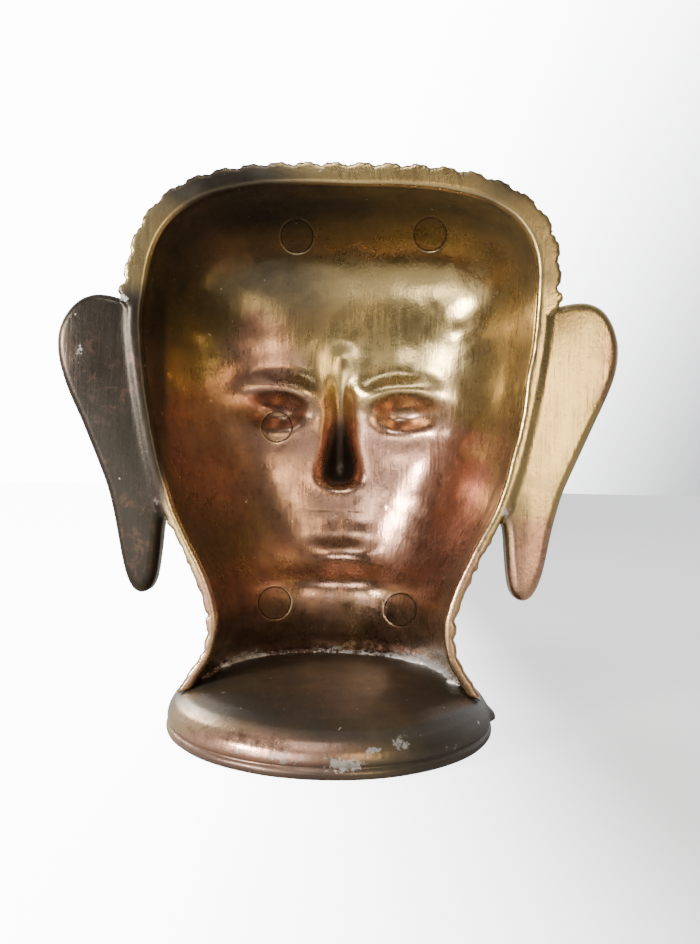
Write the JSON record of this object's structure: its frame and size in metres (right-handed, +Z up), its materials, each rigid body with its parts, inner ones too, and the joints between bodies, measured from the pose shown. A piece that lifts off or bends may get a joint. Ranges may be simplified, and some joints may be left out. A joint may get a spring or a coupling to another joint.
{
  "type": "hollow-backed head ornament",
  "caption": "Open-backed cast head with a cap of curls and long ear lobes, standing on a domed round foot.",
  "frame": {"origin": "centre of the underside of the felt pad, on the axis of the round foot", "axes": "+Z up through the foot and the head, the face towards -Y, the open back towards +Y, +X to the viewer's right when facing the face"},
  "size_m": [0.1494, 0.0951, 0.1514],
  "materials": {
    "plated_casting": "antique brass and copper plating, worn satin",
    "plated_foot": "darkened antique plating, satin",
    "solder": "dull tin-grey, lumpy",
    "felt": "matt felt"
  },
  "bodies": {
    "root": {"head_shell": "plated_casting", "foot": "plated_foot", "solder_bead": "solder", "felt_pad": "felt"}
  },
  "joints": []
}
